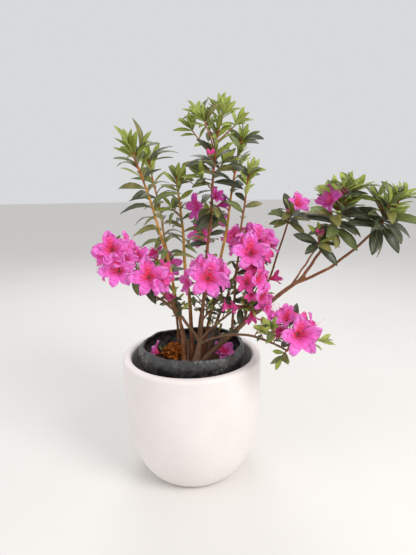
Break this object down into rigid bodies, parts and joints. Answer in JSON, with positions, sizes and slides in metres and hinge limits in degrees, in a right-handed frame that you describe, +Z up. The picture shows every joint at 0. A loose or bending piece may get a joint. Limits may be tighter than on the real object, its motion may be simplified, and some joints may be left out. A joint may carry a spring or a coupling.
{
  "type": "azalea shrub in planter",
  "caption": "Leggy flowering shrub with pink funnel blooms, rooted in a black nursery bag set in a round white planter that stands on its flat underside.",
  "frame": {"origin": "centre of the planter's flat underside", "axes": "+Z up; the side seen first faces -Y; +X to the right, where the longest bough reaches"},
  "size_m": [0.6849, 0.3961, 0.9084],
  "materials": {
    "planter": "matte off-white, smooth",
    "bag_film": "wrinkled black film, dusty",
    "soil": "crumbly moist potting soil with bark",
    "dried_petals": "dry, papery",
    "petals": "soft petals with a sheen",
    "bark": "thin bark, brown below and reddish above",
    "leaves": "dull leathery leaves"
  },
  "bodies": {
    "root": {"planter": "planter", "nursery_bag": "bag_film", "soil": "soil", "dried_bloom_clump": "dried_petals", "fallen_bloom_left": "petals", "fallen_bloom_right": "petals", "trunk": "bark", "right_main_bough": "bark", "middle_stem": "bark", "left_tall_stem": "bark", "left_second_stem": "bark", "right_tall_stem": "bark", "dead_stub": "bark", "centre_tall_stem": "bark", "left_bough": "bark", "left_side_bough": "bark", "centre_front_bough": "bark", "arching_bough": "bark", "lower_right_bough": "bark", "inner_bough": "bark", "front_right_stem": "bark", "upper_right_bough": "bark", "middle_right_bough": "bark", "right_inner_bough": "bark", "right_fork_bough": "bark", "right_end_bough": "bark", "right_bud_bough": "bark", "back_right_bough": "bark", "back_centre_bough": "bark", "back_left_bough": "bark", "centre_foliage": "leaves", "left_tall_foliage": "leaves", "left_second_foliage": "leaves", "middle_foliage": "leaves", "right_tall_foliage": "leaves", "front_right_foliage": "leaves", "left_blooms": "petals", "left_inner_blooms": "petals", "centre_blooms": "petals", "upper_right_blooms": "petals", "middle_right_blooms": "petals", "lower_right_blooms": "petals", "inner_foliage": "leaves", "low_right_blooms": "petals", "right_fork_foliage": "leaves", "right_bud_rosette": "leaves", "right_end_foliage": "leaves", "right_inner_foliage": "leaves", "back_right_blooms": "petals", "back_centre_blooms": "petals", "back_left_blooms": "petals"}
  },
  "joints": []
}
